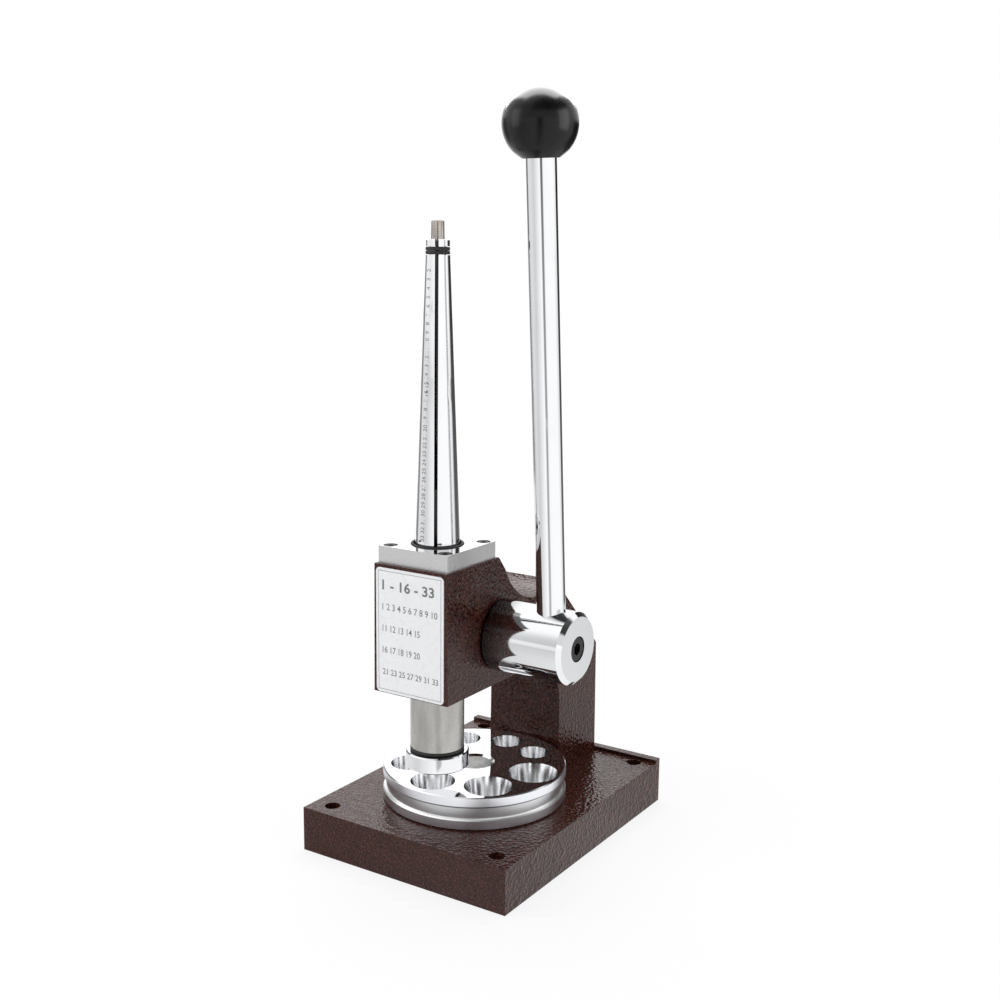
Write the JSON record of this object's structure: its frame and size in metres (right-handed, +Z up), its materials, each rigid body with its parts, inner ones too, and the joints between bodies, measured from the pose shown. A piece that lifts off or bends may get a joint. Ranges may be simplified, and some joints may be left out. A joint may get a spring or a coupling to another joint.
{
  "type": "ring stretcher",
  "caption": "Bench ring stretcher: a lever press with a split expanding mandrel on top and a round plate of reducing dies underneath.",
  "frame": {"origin": "centre of the four bench holes, on the underside of the base plate", "axes": "+Z up along the mandrel, -Y to the front where the label plate is, +X to the side of the lever"},
  "size_m": [0.1401, 0.171, 0.4032],
  "materials": {
    "paint": "brown hammered paint, half gloss",
    "chrome": "polished chrome",
    "ground_steel": "ground, satin",
    "dark_steel": "black oxide",
    "bronze": "sintered, oiled",
    "rubber": "black, matt",
    "knob": "black, glossy",
    "label": "white enamel, half gloss"
  },
  "bodies": {
    "stand": {"base_plate": "paint", "frame_casting": "paint", "frame_bolts": "dark_steel", "label_plate": "label", "mandrel_plate": "ground_steel", "plate_screws": "dark_steel", "foot_ring": "rubber", "top_rings": "rubber", "bush_right": "bronze", "bush_left": "bronze", "die_pivot": "ground_steel"},
    "lever": {"pinion_shaft": "ground_steel", "hub_key": "ground_steel", "lever_hub": "chrome", "hub_screw": "dark_steel", "end_washer": "ground_steel", "end_screw": "dark_steel", "lever_rod": "chrome", "ball_knob": "knob"},
    "press_ram": {"ram": "ground_steel", "rod_nut": "dark_steel", "ram_ring": "rubber", "press_shoe": "chrome", "shoe_screw": "dark_steel", "draw_rod": "ground_steel"},
    "dies": {"die_plate": "chrome"},
    "leaf_right": {"mandrel_leaf_right": "chrome"},
    "leaf_back": {"mandrel_leaf_back": "chrome"},
    "leaf_left": {"mandrel_leaf_left": "chrome"},
    "leaf_front": {"mandrel_leaf_front": "chrome"}
  },
  "joints": [
    {"name": "lever_swing", "type": "hinge", "parent": "stand", "child": "lever", "pos_m": [0, -0.027, 0.1243], "axis": [1, 0, 0], "range_deg": [-60, 44]},
    {"name": "ram_slide", "type": "slide", "parent": "stand", "child": "press_ram", "axis": [0, 0, 1], "range_m": [-0.0104, 0.0142]},
    {"name": "die_plate_turn", "type": "hinge", "parent": "stand", "child": "dies", "pos_m": [0, -0.01559, 0.0251], "axis": [0, 0, 1], "continuous": true},
    {"name": "leaf_right_slide", "type": "slide", "parent": "stand", "child": "leaf_right", "axis": [0.9703, -0.2419, 0], "range_m": [-0.0005, 0.00037]},
    {"name": "leaf_back_slide", "type": "slide", "parent": "stand", "child": "leaf_back", "axis": [0.2419, 0.9703, 0], "range_m": [-0.0005, 0.00037]},
    {"name": "leaf_left_slide", "type": "slide", "parent": "stand", "child": "leaf_left", "axis": [-0.9703, 0.2419, 0], "range_m": [-0.0005, 0.00037]},
    {"name": "leaf_front_slide", "type": "slide", "parent": "stand", "child": "leaf_front", "axis": [-0.2419, -0.9703, 0], "range_m": [-0.0005, 0.00037]}
  ],
  "couplings": [
    {"joint": "ram_slide", "follows": "lever_swing", "m_per_rad": -0.0135},
    {"joint": "leaf_right_slide", "follows": "lever_swing", "m_per_rad": 0.0004725},
    {"joint": "leaf_back_slide", "follows": "lever_swing", "m_per_rad": 0.0004725},
    {"joint": "leaf_left_slide", "follows": "lever_swing", "m_per_rad": 0.0004725},
    {"joint": "leaf_front_slide", "follows": "lever_swing", "m_per_rad": 0.0004725}
  ]
}
